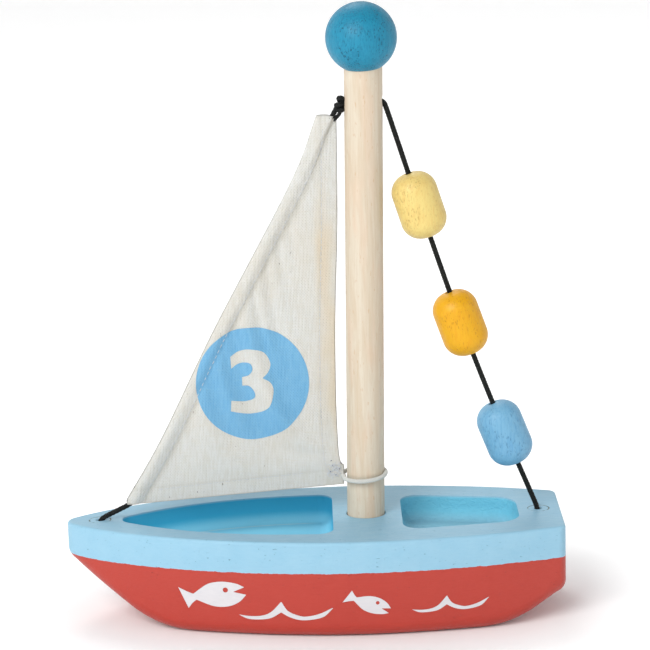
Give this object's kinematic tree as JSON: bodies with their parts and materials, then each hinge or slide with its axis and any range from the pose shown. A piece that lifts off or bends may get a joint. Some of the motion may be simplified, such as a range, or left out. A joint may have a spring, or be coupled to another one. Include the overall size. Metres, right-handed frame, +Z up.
{
  "type": "toy sailing boat",
  "caption": "Wooden toy sailing boat: painted hull with two cockpits, dowel mast with ball top, canvas sail on a cord, and bored beads that slide on the backstay.",
  "frame": {"origin": "middle of the hull's flat bottom, at the middle of the hull's length", "axes": "+X to the stern, +Z up, +Y to starboard"},
  "size_m": [0.185, 0.0752, 0.2285],
  "materials": {
    "hull_red_paint": "satin paint over fine-grained wood",
    "hull_blue_paint": "satin paint over fine-grained wood",
    "natural_wood": "bare sanded hardwood dowel",
    "ball_blue_paint": "translucent satin paint, open pores",
    "bead_pale_yellow_paint": "translucent satin stain",
    "bead_orange_paint": "satin paint",
    "bead_light_blue_paint": "satin paint",
    "black_cord": "round braided cord",
    "white_elastic": "round covered elastic",
    "canvas": "natural plain-weave cotton canvas"
  },
  "bodies": {
    "boat": {"lower_hull": "hull_red_paint", "upper_hull": "hull_blue_paint", "mast": "natural_wood", "masthead_ball": "ball_blue_paint", "bow_plug": "hull_blue_paint", "stern_plug": "hull_blue_paint", "bow_stopper_knot": "black_cord", "stern_stopper_knot": "black_cord", "forestay_cord": "black_cord", "backstay_cord": "black_cord", "masthead_knot": "black_cord", "clew_loop": "white_elastic", "sail": "canvas"},
    "bead_pale_yellow": {"bead_pale_yellow": "bead_pale_yellow_paint"},
    "bead_orange": {"bead_orange": "bead_orange_paint"},
    "bead_light_blue": {"bead_light_blue": "bead_light_blue_paint"}
  },
  "joints": [
    {"name": "slide_pale_yellow", "type": "slide", "parent": "boat", "child": "bead_pale_yellow", "axis": [-0.3031, 0, 0.953], "range_m": [-0.0108, 0.0086]},
    {"name": "slide_orange", "type": "slide", "parent": "boat", "child": "bead_orange", "axis": [-0.3299, 0, 0.944], "range_m": [-0.01, 0.0108]},
    {"name": "slide_light_blue", "type": "slide", "parent": "boat", "child": "bead_light_blue", "axis": [-0.3638, 0, 0.9315], "range_m": [-0.0175, 0.01]}
  ]
}
